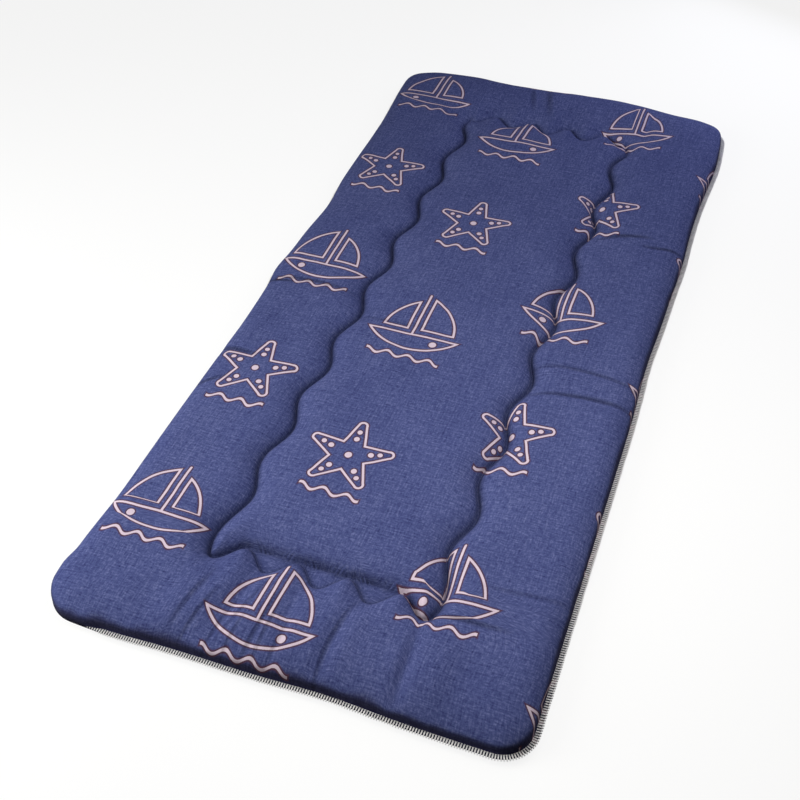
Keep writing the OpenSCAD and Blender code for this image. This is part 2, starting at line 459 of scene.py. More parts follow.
    def seam_line(self, name: str, step: float = 0.002) -> Line:
        """Follows one of the four quilting seams.

        Args:
            name: left, right, foot or head.
            step: Distance between points.

        Returns:
            The points' x and y.
        """
        if name in ("left", "right"):
            v = np.linspace(self.foot_y, self.head_y, round((self.head_y - self.foot_y) / step))
            return self.waved(np.full_like(v, self.seam_x if name == "right" else -self.seam_x), v)
        u = np.linspace(-self.seam_x, self.seam_x, round(2 * self.seam_x / step))
        return self.waved(u, np.full_like(u, self.foot_y if name == "foot" else self.head_y))

    def inner_bound(self) -> Line:
        """Follows the foot end of the inner panel's pillow, straight from peak to peak of the seam.

        Returns:
            The points' x and y.
        """
        x, y = self.seam_line("foot")
        tight = ease((1.5 * self.cross_pitch + 0.012 - np.abs(x)) / 0.012)
        return x, y + (self.foot_y + self.foot_swing + 0.004 - y) * tight


def nearest(x: Array, y: Array, *lines: Line) -> Array:
    """Measures how far points lie from the nearest of several lines.

    Args:
        x: The points' x.
        y: The points' y.
        lines: Each line's x and y.

    Returns:
        The distances.
    """
    spots = [(px, py, 0.0) for line in lines for px, py in zip(*(part.tolist() for part in line))]
    tree = KDTree(len(spots))
    for index, spot in enumerate(spots):
        tree.insert(spot, index)
    tree.balance()
    points = zip(x.ravel().tolist(), y.ravel().tolist())
    return np.array([tree.find((px, py, 0.0))[2] for px, py in points]).reshape(x.shape)


def lowest(heights: Array) -> Array:
    """Widens the low places of a grid.

    Args:
        heights: The heights, by row and column.

    Returns:
        The lowest of each height and its neighbours.
    """
    wide = np.pad(heights, 1, mode="edge")
    rows, columns = heights.shape
    return np.min([wide[i : i + rows, j : j + columns] for i in range(3) for j in range(3)], axis=0)


SEAM = Rise(0.54, 0.0026, 0.036, 0.45, 0.0026, 0.070)
FOOT_NOSE = Rise(0.66, 0.001, 0.042, 0.40, 0.0, 0.070)
HEAD_DIP = Rise(0.24, 0.002, 0.016, 0.45, 0.0, 0.100)
SIDE_ROLL = Rise(0.30, 0.0, 0.004, 0.5, 0.0, 0.050, 0.45)
END_ROLL = Rise(0.36, 0.0, 0.005, 0.5, 0.0, 0.080, 0.85)


@dataclass
class Relief:
    """The heights of the cloth over the grid, and how hard the stitching pulls on it."""

    quilt: Quilt
    u: Array
    v: Array
    x: Array = field(init=False)
    y: Array = field(init=False)
    edge: Array = field(init=False)
    long_seam: Array = field(init=False)
    cross_seam: Array = field(init=False)
    end_edge: Array = field(init=False)
    inside: Array = field(init=False)
    tongue: Array = field(init=False)
    head_fade: float = 0.06
    shelf: float = 0.10
    broad_drift: float = 0.0030
    small_drift: float = 0.0011
    fold_width: float = 0.0072
    lee_width: float = 0.0098
    stitch_width: float = 0.0040

    def __post_init__(self) -> None:
        """Places the grid and measures it against the seams."""
        q = self.quilt
        flat, bound = q.waved(self.u, self.v), q.inner_bound()
        self.x, self.y = q.plan(self.u, self.v)
        self.edge = np.minimum(q.half_w - np.abs(self.u), q.half_l - np.abs(self.v))
        self.long_seam = nearest(*flat, q.seam_line("left"), q.seam_line("right"))
        self.cross_seam = nearest(*flat, q.seam_line("foot"), q.seam_line("head"))
        self.end_edge = nearest(*flat, bound, q.seam_line("head"))
        self.inside = (np.abs(self.u) < q.seam_x) & (self.v > q.foot_y) & (self.v < q.head_y)
        self.tongue = self.inside & (flat[1] < np.interp(flat[0], *bound))

    def top(self) -> Array:
        """Raises the upper cover over its filling.

        Returns:
            The height of its outer face.
        """
        q, x, y = self.quilt, self.x, self.y
        seam, bound = np.minimum(self.long_seam, self.cross_seam), np.minimum(self.long_seam, self.end_edge)
        far = ease((self.v - q.head_y + self.head_fade) / self.head_fade)
        outer = SEAM.at(seam) * (1 - far) + HEAD_DIP.at(seam) * far
        nose = np.where(self.v > 0, HEAD_DIP.at(self.end_edge), FOOT_NOSE.at(self.end_edge))
        inner = np.minimum(SEAM.at(self.long_seam), nose)
        shelf = self.shelf * ease((seam - q.channel / 2) / 0.016) * ease(bound / 0.010)
        swell = np.where(self.inside, np.where(self.tongue, shelf, inner), outer)
        rise = self.roll()
        full = rise * swell
        broad, small = Drift(4, 0.21).at(x, y, 3), Drift(9, 0.075).at(x, y)
        lift = (self.broad_drift * broad + self.small_drift * small) * full
        dents = sum(crease.dent(x, y) for crease in CREASES) * ease(full * 1.3 - 0.15)
        crown, hem = q.crown - 0.0006, q.join + q.cloth
        drop = (crown - q.top_channel) * (1 - swell) * (rise > 0)
        return np.maximum(hem + (crown - hem) * rise - drop + lift - dents, hem)

    def inward(self) -> Array:
        """Returns the distance inside the line from which the top rises."""
        return self.edge - self.quilt.allowance * (1 - self.quilt.tuck(self.u, self.v))

    def by_end(self) -> Array:
        """Returns 1 beside the foot and head edges and 0 beside the long ones."""
        q = self.quilt
        return ease(0.5 + ((q.half_w - np.abs(self.u)) - (q.half_l - np.abs(self.v))) / 0.14)

    def roll(self) -> Array:
        """Returns how far the top has risen: steeply along the sides, in a full round at foot and head."""
        inside, ends = self.inward(), self.by_end()
        return SIDE_ROLL.at(inside) * (1 - ends) + END_ROLL.at(inside) * ends

    def hem(self) -> Array:
        """Returns how deep in shade the cloth lies along the overlocked edge, 1 on the allowance."""
        width = (0.004 + 0.004 * self.by_end()) * (1 + 0.45 * Drift(8, 0.045).at(self.x, self.y))
        return falling(np.maximum(self.inward(), 0), width)

    def crevice(self) -> Array:
        """Measures how deep in shade the cloth lies beside the stitches.

        Returns:
            1 in the fold and 0 in the open.
        """
        inner, foot = self.quilt.seam_x, self.v < 0
        ends = np.where(foot & (np.abs(self.u) < inner + 0.01), self.end_edge, 1.0)
        lee = (np.abs(self.u) > inner) == (self.u > 0)
        width = np.where(lee & (self.long_seam < ends), self.lee_width, self.fold_width)
        deep = np.where(ends < self.long_seam, 0.35 * falling(self.u - 0.02, 0.09), 0.0)
        folds = (1 + deep) * falling(np.minimum(self.long_seam, ends), width)
        stitched = np.where(foot, 0.95, 0.285) * falling(self.cross_seam, self.stitch_width)
        return np.maximum(folds, stitched) * (1 - 0.7 * ease((self.v - 0.70) / 0.07))

    def base(self) -> Array:
        """Lets the lower cover down to the floor.

        Returns:
            The height of its outer face.
        """
        q, seam = self.quilt, np.minimum(self.long_seam, self.cross_seam)
        fall = bulge(seam - q.channel / 2, q.base_swell) * bulge(self.edge - q.allowance, q.base_roll)
        return (q.join - q.cloth) * (1 - fall)

    def pull(self, distance: Array, reach: float = 0.016) -> Array:
        """Returns how strongly stitches gather the cloth at a distance: 1 at the seam, fading over reach."""
        return np.exp(-np.maximum(distance - self.quilt.channel / 2, 0) / reach) * ease(self.edge / 0.03)


def spaced(low: float, high: float, features: Sequence[Triple], widest: float) -> Array:
    """Sets grid lines that crowd together where the form needs them.

    Args:
        low: First line.
        high: Last line.
        features: Places that need close lines, each with the zone around it and the spacing there.
        widest: Spacing away from them all.

    Returns:
        The lines, in rising order.
    """
    s = np.linspace(low, high, 40001)
    gap = np.full_like(s, widest)
    for place, zone, fine in features:
        gap = np.minimum(gap, fine + 0.20 * np.maximum(np.abs(s - place) - zone, 0))
    count = np.concatenate([[0.0], np.cumsum((1 / gap[1:] + 1 / gap[:-1]) / 2 * np.diff(s))])
    return np.interp(np.linspace(0, count[-1], round(count[-1]) + 1), count, s)


def meshed(name: str, work: bmesh.types.BMesh) -> bpy.types.Mesh:
    """Turns finished mesh work into a mesh.

    Args:
        name: Name of the mesh.
        work: The work, which ends with this.

    Returns:
        The mesh.
    """
    mesh = bpy.data.meshes.new(name)
    work.to_mesh(mesh)
    work.free()
    return mesh


def gridded(name: str, points: Array) -> tuple[bpy.types.Mesh, Line]:
    """Makes a grid mesh with a vertex at each point.

    Args:
        name: Name of the mesh.
        points: The vertices' places, by row and column.

    Returns:
        The mesh, and each vertex's row and column.
    """
    rows, columns = points.shape[:2]
    work = bmesh.new()
    bmesh.ops.create_grid(work, x_segments=columns - 1, y_segments=rows - 1, size=1.0)
    mesh = meshed(name, work)
    square = np.zeros(len(mesh.vertices) * 3)
    mesh.vertices.foreach_get("co", square)
    column, row, _ = (square.reshape(-1, 3).T + 1) / 2
    column, row = np.rint(column * (columns - 1)).astype(int), np.rint(row * (rows - 1)).astype(int)
    mesh.vertices.foreach_set("co", points[row, column].astype(np.float32).ravel())
    mesh.update()
    return mesh, (row, column)


def shown(name: str, mesh: bpy.types.Mesh, smooth: bool = True) -> bpy.types.Object:
    """Puts a mesh in the scene as an object at the origin.

    Args:
        name: Name of the object.
        mesh: Its mesh.
        smooth: Whether its faces are shaded as one surface.

    Returns:
        The object.
    """
    mesh.polygons.foreach_set("use_smooth", [smooth] * len(mesh.polygons))
    piece = bpy.data.objects.new(name, mesh)
    bpy.context.scene.collection.objects.link(piece)
    return piece


def seated(piece: bpy.types.Object, node: str, material: bpy.types.Material) -> None:
    """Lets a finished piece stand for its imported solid.

    Args:
        piece: The finished object.
        node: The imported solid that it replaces.
        material: Its finish.
    """
    piece.data.materials.clear()
    piece.data.materials.append(material)
    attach(piece, "root")
    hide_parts(node)
    log.info("%s stands for %s: %d faces", piece.name, node, len(piece.data.polygons))


# ---- Shader work -------------------------------------------------------------------------------------------


BLACK: Triple = (0.0, 0.0, 0.0)
WHITE: Triple = (1.0, 1.0, 1.0)


class Wire:
    """A number that runs through a shader and takes part in Python arithmetic."""

    def __init__(self, bench: Bench, socket: Link) -> None:
        """Takes the material that the number belongs to, and where it comes from."""
        self.bench, self.socket = bench, socket

    def math(self, operation: str, *others: Wire | float, clamp: bool = False) -> Wire:
        """Returns the result of a Math node on this number and others."""
        settings, sockets = {"operation": operation, "use_clamp": clamp}, dict(enumerate((self, *others)))
        return Wire(self.bench, self.bench.node("ShaderNodeMath", settings, sockets).outputs[0])

    def __add__(self, other: Wire | float) -> Wire:
        """Adds."""
        return self.math("ADD", other)

    __radd__ = __add__

    def __sub__(self, other: Wire | float) -> Wire:
        """Subtracts."""
        return self.math("SUBTRACT", other)

    def __rsub__(self, other: float) -> Wire:
        """Subtracts from a number."""
        return self.math("MULTIPLY_ADD", -1.0, other)

    def __mul__(self, other: Wire | float) -> Wire:
        """Multiplies."""
        return self.math("MULTIPLY", other)

    __rmul__ = __mul__

    def __truediv__(self, other: Wire | float) -> Wire:
        """Divides."""
        return self.math("DIVIDE", other)

    def __abs__(self) -> Wire:
        """Drops the sign."""
        return self.math("ABSOLUTE")

    def low(self, other: Wire | float) -> Wire:
        """Returns the lower of two numbers."""
        return self.math("MINIMUM", other)

    def high(self, other: Wire | float) -> Wire:
        """Returns the higher of two numbers."""
        return self.math("MAXIMUM", other)

    def clamped(self) -> Wire:
        """Keeps the number between 0 and 1."""
        return self.math("ADD", 0.0, clamp=True)

    def whole(self) -> Wire:
        """Rounds to the nearest whole number."""
        return (self + 0.5).math("FLOOR")

    def odd(self) -> Wire:
        """Returns 0 for even whole numbers and 1 for odd ones."""
        return self.math("FLOORED_MODULO", 2.0)

    def hypot(self, other: Wire) -> Wire:
        """Returns the length of a vector of two numbers."""
        return (self * self + other * other).math("SQRT")

    def step(self, start: float, end: float) -> Wire:
        """Eases from 1 to 0.

        Args:
            start: Where it leaves 1.
            end: Where it reaches 0.

        Returns:
            The eased number.
        """
        sockets = {0: self, 1: start, 2: end, 3: 1.0, 4: 0.0}
        node = self.bench.node("ShaderNodeMapRange", {"interpolation_type": "SMOOTHSTEP"}, sockets)
        return Wire(self.bench, node.outputs[0])


class Bench:
    """Builds one material, or the surroundings, node by node."""

    def __init__(self, name: str, world: bool = False) -> None:
        """Args:
        name: Name of the material.
        world: Whether it is the surroundings.
        """
        self.holder = (bpy.data.worlds if world else bpy.data.materials).new(name)
        self.holder.use_nodes = True
        self.tree = self.holder.node_tree
        self.tree.nodes.clear()

    def node(
        self, kind: str, settings: dict[str, object] | None = None, sockets: Sockets | None = None
    ) -> bpy.types.Node:
        """Adds a node.

        Args:
            kind: The node's type.
            settings: Its settings, such as an operation or a ramp's stops.
            sockets: The values or links of its inputs, by name or number.

        Returns:
            The node.
        """
        made = self.tree.nodes.new(kind)
        for key, value in (settings or {}).items():
            if key == "stops":
                ramp = made.color_ramp.elements
                for index, (place, colour) in enumerate(value):
                    stop = ramp[index] if index < 2 else ramp.new(place)
                    stop.position, stop.color = place, (*colour, 1.0)
            else:
                setattr(made, key, value)
        for key, value in (sockets or {}).items():
            if isinstance(value, (Wire, Link)):
                self.tree.links.new(value.socket if isinstance(value, Wire) else value, made.inputs[key])
            else:
                wide = made.inputs[key].type == "RGBA"
                made.inputs[key].default_value = (*value, 1.0) if wide else value
        return made

    def mixed(self, factor: Wire | float, a: Colour, b: Colour) -> Link:
        """Mixes two colours: a factor of 0 gives the first and 1 the second."""
        sockets = {0: factor, 6: a, 7: b}
        return self.node("ShaderNodeMix", {"data_type": "RGBA", "clamp_factor": True}, sockets).outputs[2]

    def either(self, factor: Wire, a: bpy.types.Node, b: bpy.types.Node) -> bpy.types.Node:
        """Mixes two shaders: 0 gives the first and 1 the second."""
        return self.node("ShaderNodeMixShader", None, {0: factor, 1: a.outputs[0], 2: b.outputs[0]})

    def placed(self, source: Link, place: Point, turn: float, size: Point) -> Link:
        """Lays out a coordinate anew: 0 at a place, turned by degrees, and in units of size."""
        values = {0: source, 1: (*place, 0.0), 2: (0.0, 0.0, math.radians(turn)), 3: (*size, 1.0)}
        return self.node("ShaderNodeMapping", {"vector_type": "TEXTURE"}, values).outputs[0]

    def noise(self, source: Link, scale: Triple, detail: float = 2.0, rough: float = 0.5) -> Wire:
        """Spreads noise over a coordinate.

        Args:
            source: The coordinate.
            scale: How many swells it has to the metre along each axis.
            detail: How many finer layers it has.
            rough: How strong they are.

        Returns:
            The noise, about 0 to 1.
        """
        laid = self.node("ShaderNodeMapping", None, {0: source, 3: scale}).outputs[0]
        values = {"Vector": laid, "Scale": 1.0, "Detail": detail, "Roughness": rough}
        return Wire(self, self.node("ShaderNodeTexNoise", None, values).outputs[0])

    def coordinate(self) -> Link:
        """Returns the piece's Object coordinate."""
        return self.node("ShaderNodeTexCoord").outputs["Object"]

    def parts(self, source: Link) -> list[Wire]:
        """Splits a coordinate into its three numbers."""
        return [Wire(self, out) for out in self.node("ShaderNodeSeparateXYZ", None, {0: source}).outputs]

    def attribute(self, name: str) -> Wire:
        """Returns a number that is stored on the piece's vertices."""
        return Wire(self, self.node("ShaderNodeAttribute", {"attribute_name": name}).outputs["Fac"])

    def bump(self, height: Wire, distance: float, strength: float, under: Link | None = None) -> Link:
        """Turns a height into a normal.

        Args:
            height: The height.
            distance: What 1 stands for, in metres.
            strength: How strongly it shows, 0 to 1.
            under: The normal that it lies on, if there is one.

        Returns:
            The normal.
        """
        sockets = {"Height": height, "Distance": distance, "Strength": strength}
        if under is not None:
            sockets["Normal"] = under
        return self.node("ShaderNodeBump", None, sockets).outputs[0]

    def close(self, shader: bpy.types.Node, output: str = "ShaderNodeOutputMaterial") -> bpy.types.ID:
        """Leads a shader to the output, and returns what was built."""
        self.tree.links.new(shader.outputs[0], self.node(output).inputs[0])
        return self.holder

    def finish(self, sockets: Sockets) -> bpy.types.Material:
        """Closes the material with a Principled surface of these values and links."""
        return self.close(self.node("ShaderNodeBsdfPrincipled", None, sockets))


@dataclass(frozen=True)
class Linen:
    """A heathered cotton-linen cloth."""

    name: str
    ground: Triple
    light: Triple
    dark: Triple
    yarn: float = 0.0011
    fold_shade: float = 0.42
    hem_shade: float = 0.80

    def weave(self, bench: Bench) -> tuple[Link, Link]:
        """Weaves the cloth.

        Args:
            bench: The material under work.

        Returns:
            Its colour and its normal.
        """
        cloth = bench.node("ShaderNodeUVMap", {"uv_map": "weave"}).outputs[0]
        weft = bench.noise(cloth, (85.0, 330.0, 1.0), 2.0, 0.6)
        warp = bench.noise(cloth, (330.0, 85.0, 1.0), 2.0, 0.6)
        fleck = bench.noise(cloth, (260.0, 260.0, 1.0), 3.0, 0.7)
        cloud = bench.noise(cloth, (7.0, 5.0, 1.0), 3.0)
        slub, rib = bench.noise(cloth, (14.0, 300.0, 1.0), 1.0), bench.noise(cloth, (300.0, 14.0, 1.0), 1.0)
        shade = weft * 0.88 + warp * 0.80 + fleck * 0.80 + slub * 0.44 + rib * 0.44 + cloud * 0.28 - 1.32
        stops = [(0.0, self.dark), (1.0, self.light), (0.5, self.ground)]
        tone = bench.node("ShaderNodeValToRGB", {"stops": stops}, {0: shade.clamped()}).outputs[0]
        x, y, _ = bench.parts(cloth)
        turn = 2 * math.pi / self.yarn
        threads = bench.bump((x * turn).math("SINE") * (y * turn).math("SINE"), 0.0002, 0.5)
        return tone, bench.bump(weft + warp + fleck, 0.0010, 0.40, threads)

    def shaded(self, bench: Bench, colour: Colour) -> Link:
        """Paints shade into a colour of the cloth: deep in the seams' folds and along the overlocked edge."""
        folded = bench.mixed(bench.attribute("crevice") * self.fold_shade, colour, BLACK)
        return bench.mixed(bench.attribute("hem") * self.hem_shade, folded, (0.01, 0.006, 0.012))

    def gathers(self, bench: Bench, under: Link) -> Link:
        """Adds the fine ripples that the stitching pulls into the cloth beside each seam.

        Args:
            bench: The material under work.
            under: The normal below them.

        Returns:
            The normal with the ripples.
        """
        place = bench.coordinate()
        by_long = bench.noise(place, (22.0, 95.0, 1.0), 1.0) * bench.attribute("long_pull")
        by_cross = bench.noise(place, (95.0, 22.0, 1.0), 1.0) * bench.attribute("cross_pull")
        return bench.bump(by_long + by_cross, 0.004, 0.6, under)

    def material(self) -> bpy.types.Material:
        """Makes the cloth.

        Returns:
            The material.
        """
        bench = Bench(self.name)
        colour, normal = self.weave(bench)
        return self.surfaced(bench, self.shaded(bench, colour), self.gathers(bench, normal))

    def surfaced(self, bench: Bench, colour: Colour, normal: Link) -> bpy.types.Material:
        """Closes the material with the cloth's dull surface."""
        dull = {"Roughness": 0.95, "Specular IOR Level": 0.04, "Sheen Weight": 0.01, "Sheen Roughness": 0.5}
        return bench.finish({"Base Color": colour, "Normal": normal, **dull})


@dataclass(frozen=True)
class Motif:
    """Line drawing: every stroke is measured as a distance, so it stays sharp at any size."""

    x: Wire
    y: Wire

    def bar(self, x: float, y: float, half_w: float, half_h: float) -> Wire:
        """Returns the distance from a level or upright stroke."""
        return (abs(self.x - x) - half_w).high(0.0).hypot((abs(self.y - y) - half_h).high(0.0))

    def ring(self, x: float, y: float, radius: float) -> Wire:
        """Returns the distance outside a circle, below 0 inside it."""
        return (self.x - x).hypot(self.y - y) - radius

    def dot(self, x: float, y: float, radius: float) -> Wire:
        """Returns the distance from a filled dot."""
        return self.ring(x, y, radius).high(0.0)

    def ripple(self, half: float) -> Wire:
        """Returns the distance from a short wavy line below the motif."""
        wave = abs(self.y + 0.094 - (self.x * (2 * math.pi / 0.046)).math("SINE") * 0.0065) * 0.75
        return wave.high(abs(self.x) - half)

    def sail(self, luff: Wire, leech: Wire) -> Wire:
        """Returns the distance from the outline of a sail: straight luff and foot, and a full round leech."""
        return abs(luff.high(-0.002 - self.y).high(leech))

    def sailing_boat(self) -> Wire:
        """Draws a small sailing boat on a wave.

        Returns:
            The distance from its lines.
        """
        hull = abs(self.ring(0.0, 0.060, 0.128)).high(self.y + 0.021)
        deck, mast = self.bar(0.0, -0.021, 0.099, 0.0), self.bar(-0.004, 0.0455, 0.0, 0.0665)
        main = self.sail(0.012 - self.x, self.ring(-0.045, -0.017, 0.130))
        jib = self.sail(self.x + 0.020, self.ring(0.036, -0.011, 0.110))
        marks = self.dot(0.050, -0.040, 0.0055).low(self.ripple(0.080))
        return hull.low(deck).low(mast).low(main).low(jib).low(marks)

    def starfish(self) -> Wire:
        """Draws a starfish with dots along its arms.

        Returns:
            The distance from its lines.
        """
        up, fifth = self.y - 0.006, math.pi / 5
        turn, reach = self.x.math("ARCTAN2", up), self.x.hypot(up)
        arm = abs(turn.math("WRAP", fifth, -fifth))
        across, along = reach * arm.math("SINE"), reach * arm.math("COSINE")
        share = (along / 0.080).clamped()
        arms = across.hypot(along - share * 0.080) - (0.031 - share * 0.0225)
        folded, pips = Motif(across, along), self.ripple(0.060)
        for middle, radius in ((0.062, 0.0028), (0.044, 0.0034), (0.0, 0.005)):
            pips = pips.low(folded.dot(0.0, middle, radius))
        return abs(arms.low(reach - 0.036)).low(pips)


@dataclass(frozen=True)
class PrintedLinen(Linen):
    """Linen with a nautical line print, set lower in every other column, and fine creases across it."""

    line: Triple = (0.7, 0.5, 0.45)
    rim: Triple = (0.1, 0.05, 0.05)
    cell_w: float = 0.300
    cell_h: float = 0.400
    start: Point = (0.055, 0.115)
    drop: float = 0.235
    stroke: float = 0.0027
    halo: float = 0.0042
    wear: float = 0.0008
    wobble: Point = (0.003, 0.004)
    line_fold_shade: float = 0.36
    line_hem_shade: float = 0.40
    crease_shade: float = 150.0

    def creases(self, bench: Bench) -> Wire:
        """Draws the fine creases.

        Args:
            bench: The material under work.

        Returns:
            How deep the cloth lies in them, in metres.
        """
        place = bench.coordinate()
        grooves = [crease.groove(bench, place) for crease in FINE_CREASES]
        return sum(grooves[1:], grooves[0])

    def away(self, bench: Bench, cloth: Link) -> Wire:
        """Lays out boats and starfish in turn over the cloth.

        Args:
            bench: The material under work.
            cloth: The cloth's flat coordinate.

        Returns:
            The distance from the lines of the nearest motif.
        """
        u, v, _ = bench.parts(cloth)
        sway = bench.noise(cloth, (18.0, 18.0, 1.0), 1.0) - 0.5
        column = ((u + self.start[0]) / self.cell_w).whole()
        x = u + self.start[0] - column * self.cell_w
        fallen = v + self.start[1] + column.odd() * self.drop
        row = (fallen / self.cell_h).whole()
        y = fallen - row * self.cell_h + sway * self.wobble[1]
        motif = Motif(x * (1 - row.odd() * 2) + sway * self.wobble[0], y)
        boat = motif.sailing_boat()
        return boat + (motif.starfish() - boat) * (row + column).odd()

    def material(self) -> bpy.types.Material:
        """Makes the cloth with its print.

        Returns:
            The material.
        """
        bench = Bench(self.name)
        cloth = bench.node("ShaderNodeUVMap", {"uv_map": "cloth"}).outputs[0]
        colour, normal = self.weave(bench)
        worn = bench.noise(cloth, (500.0, 500.0, 1.0), 2.0) - 0.5
        edge = self.away(bench, cloth) + worn * self.wear
        rim = edge.step(self.stroke + 0.0005, self.stroke + self.halo)
        ink = edge.step(self.stroke - 0.0006, self.stroke)
        # Painted shade: the print's lines are darkened deep in the seams' folds and along the overlocked
        # edge, less than the cloth.
        fold = bench.mixed(bench.attribute("crevice") * self.line_fold_shade, self.line, BLACK)
        line = bench.mixed(bench.attribute("hem") * self.line_hem_shade, fold, (0.04, 0.02, 0.03))
        colour = bench.mixed(rim * 0.90, self.shaded(bench, colour), self.rim)
        colour = bench.mixed(ink * (1 - worn * 0.5), colour, line)
        depth = self.creases(bench)
        relief = bench.bump(0 - depth, 1.0, 1.0, self.gathers(bench, normal))
        # Painted shade: the colour is darkened in the fine creases, more where they are deeper.
        return self.surfaced(bench, bench.mixed((depth * self.crease_shade).low(0.5), colour, BLACK), relief)


@dataclass(frozen=True)
class Yarn:
    """Spun sewing thread."""

    name: str
    colour: Triple
    shade: Triple

    def material(self) -> bpy.types.Material:
        """Makes the thread's finish.

        Returns:
            The material.
        """
        bench = Bench(self.name)
        place = bench.coordinate()
        twist, drift = bench.noise(place, (1400.0,) * 3), bench.noise(place, (60.0,) * 3)
        colour = bench.mixed((twist * 0.7 + drift * 0.6 - 0.25).clamped(), self.shade, self.colour)
        normal = bench.bump(twist, 0.0002, 0.6)
        shine = {"Roughness": 0.55, "Specular IOR Level": 0.35}
        return bench.finish({"Base Color": colour, "Normal": normal, **shine})


@dataclass(frozen=True)
class Wadding:
    """Carded filling fibre."""

    name: str
    colour: Triple
    shade: Triple
    tuft: float

    def material(self) -> bpy.types.Material:
        """Makes the filling's finish.

        Returns:
            The material.
        """
        bench = Bench(self.name)
        place = bench.coordinate()
        strand = bench.noise(place, (self.tuft, self.tuft * 0.35, self.tuft), 5.0, 0.65)
        lump = bench.noise(place, (22.0,) * 3, 3.0)
        colour = bench.mixed((strand * 0.8 + lump * 0.5 - 0.2).clamped(), self.shade, self.colour)
        normal = bench.bump(strand + lump, 0.003, 0.7)
        return bench.finish({"Base Color": colour, "Normal": normal, "Roughness": 0.95})


NAVY_PRINT = PrintedLinen(
    "navy_print",
    ground=tint(71, 79, 127),
    light=tint(108, 115, 160),
    dark=tint(38, 44, 89),
    line=tint(206, 189, 205),
    rim=tint(78, 48, 58),
)
NAVY_PLAIN = Linen("navy_plain", ground=tint(62, 69, 112), light=tint(84, 91, 134), dark=tint(43, 49, 90))
NAVY_YARN = Yarn("navy_yarn", tint(78, 86, 138), tint(44, 50, 96))
WHITE_YARN = Yarn("white_yarn", tint(252, 251, 250), tint(214, 212, 216))
SOFT_WADDING = Wadding("soft_wadding", tint(240, 238, 232), tint(214, 210, 202), 260.0)
FIRM_WADDING = Wadding("firm_wadding", tint(228, 226, 220), tint(196, 192, 184), 420.0)


# ---- Pieces ------------------------------------------------------------------------------------------------


class Side(Enum):
    """The two faces of the mattress: name, node and slot."""

    TOP = ("upper_cover_cloth", "top_cover", "printed_cover")
    BASE = ("lower_cover_cloth", "base_cover", "plain_cover")


@dataclass
class Cover:
    """One cover: a closed thin cloth, moulded by the quilting and by the filling under it."""

    quilt: Quilt
    side: Side

    def lines(self) -> Line:
        """Sets the grid's lines, which lie closest along the edges and the seams.

        Returns:
            The lines across and along.
        """
        q = self.quilt
        across = [(s * (q.half_w - 0.010), 0.005, 0.0012) for s in (-1, 1)]
        across += [(s * q.seam_x, 0.009, 0.0013) for s in (-1, 1)] + [(-q.half_w + 0.001, 0.003, 0.0015)]
        along = [(s * (q.half_l - 0.010), 0.005, 0.0012) for s in (-1, 1)]
        along += [(q.foot_y + 0.008, 0.026, 0.0022), (q.head_y - 0.010, 0.022, 0.0028)]
        wide = 0.0080 if self.side is Side.TOP else 0.016
        return spaced(-q.half_w, q.half_w, across, wide), spaced(-q.half_l, q.half_l, along, 1.35 * wide)

    def build(self) -> bpy.types.Object:
        """Makes the cover.

        Returns:
            The cloth as an object.
        """
        name, relief = self.side.value[0], Relief(self.quilt, *np.meshgrid(*self.lines()))
        z = relief.top() if self.side is Side.TOP else relief.base()
        mesh, order = gridded(name, np.stack([relief.x, relief.y, z], -1))
        self.unroll(mesh, relief, z, order)
        if self.side is Side.BASE:
            mesh.flip_normals()
        piece = shown(name, mesh)
        wall = piece.modifiers.new("cloth", "SOLIDIFY")
        wall.thickness, wall.offset, wall.use_even_offset = self.quilt.cloth, -1.0, False
        return piece

    def unroll(self, mesh: bpy.types.Mesh, relief: Relief, z: Array, order: Line) -> None:
        """Gives the cloth its own flat coordinates, and stores how hard the seams pull.

        Args:
            mesh: The cover's mesh.
            relief: The measured grid.
            z: Its heights.
            order: Each vertex's row and column.
        """
        middle, centre = z.shape[0] // 2, z.shape[1] // 2
        rows = np.array([self.excess(line, height) for line, height in zip(relief.u, z)])
        columns = np.array([self.excess(line, height) for line, height in zip(relief.v.T, z.T)]).T
        corners = np.zeros(len(mesh.loops), int)
        mesh.loops.foreach_get("vertex_index", corners)
        maps = {"cloth": (rows[[middle]], columns[:, [centre]]), "weave": (rows, columns)}
        for key, (more_x, more_y) in maps.items():
            flat = np.stack([relief.x + more_x, relief.y + more_y], -1)[order]
            mesh.uv_layers.new(name=key).data.foreach_set("uv", flat[corners].astype(np.float32).ravel())
        stored = {
            "long_pull": relief.pull(relief.long_seam),
            "cross_pull": relief.pull(relief.cross_seam),
            # crevice and hem say how much shade is painted on the cloth in the seams' folds and along the
            # edge
            "crevice": relief.crevice(),
            "hem": relief.hem(),
        }
        for key, values in stored.items():
            layer = mesh.attributes.new(key, "FLOAT", "POINT")
            layer.data.foreach_set("value", values[order].astype(np.float32))

    @staticmethod
    def excess(line: Array, height: Array) -> Array:
        """Measures how much further cloth runs over the heights than straight along the line.

        Args:
            line: Places along the line.
            height: The cloth's height at each.

        Returns:
            The extra run at each place, 0 at the line's middle.
        """
        run = np.hypot(np.diff(line), np.diff(height)) - np.diff(line)
        total = np.concatenate([[0.0], np.cumsum(run)])
        return total - np.interp(0.0, line, total)

    def dress(self, piece: bpy.types.Object) -> None:
        """Finishes the cover.

        Args:
            piece: The cloth.
        """
        _, node, slot = self.side.value
        finish = NAVY_PRINT if self.side is Side.TOP else NAVY_PLAIN
        seated(piece, node, finish.material())


class Layer(Enum):
    """The three batts: name, node, slot and fill."""

    TOP = ("upper_batt", "top_batt", "soft_wadding", 0.6)
    CORE = ("middle_batt", "core_batt", "firm_wadding", 0.9)
    BASE = ("lower_batt", "base_batt", "soft_wadding", 0.6)


